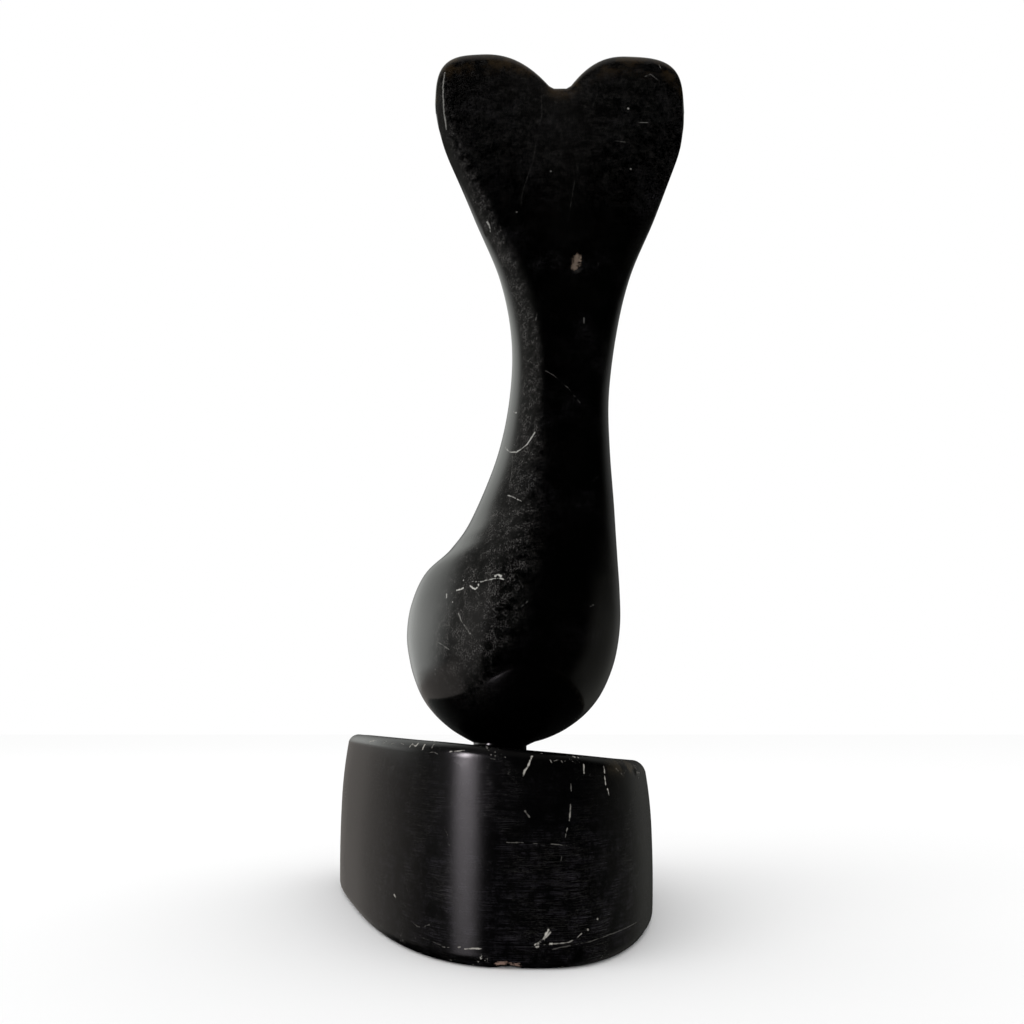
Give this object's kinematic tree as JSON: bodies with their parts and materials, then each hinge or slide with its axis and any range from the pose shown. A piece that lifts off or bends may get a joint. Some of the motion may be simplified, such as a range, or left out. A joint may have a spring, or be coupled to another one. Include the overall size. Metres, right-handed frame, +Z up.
{
  "type": "soapstone whale sculpture",
  "caption": "Stylised whale carved in polished black stone, diving head down with its flukes up, standing on a low oval stone base.",
  "frame": {"origin": "centre of the base's flat underside, on the surface that the sculpture stands on", "axes": "+Z up towards the flukes, +X to the right of someone facing the flukes' broad side, +Y away from them"},
  "size_m": [0.1222, 0.127, 0.3006],
  "materials": {
    "whale_stone": "polished",
    "base_stone": "polished, rubbed"
  },
  "bodies": {
    "root": {"whale": "whale_stone", "base_block": "base_stone"}
  },
  "joints": []
}
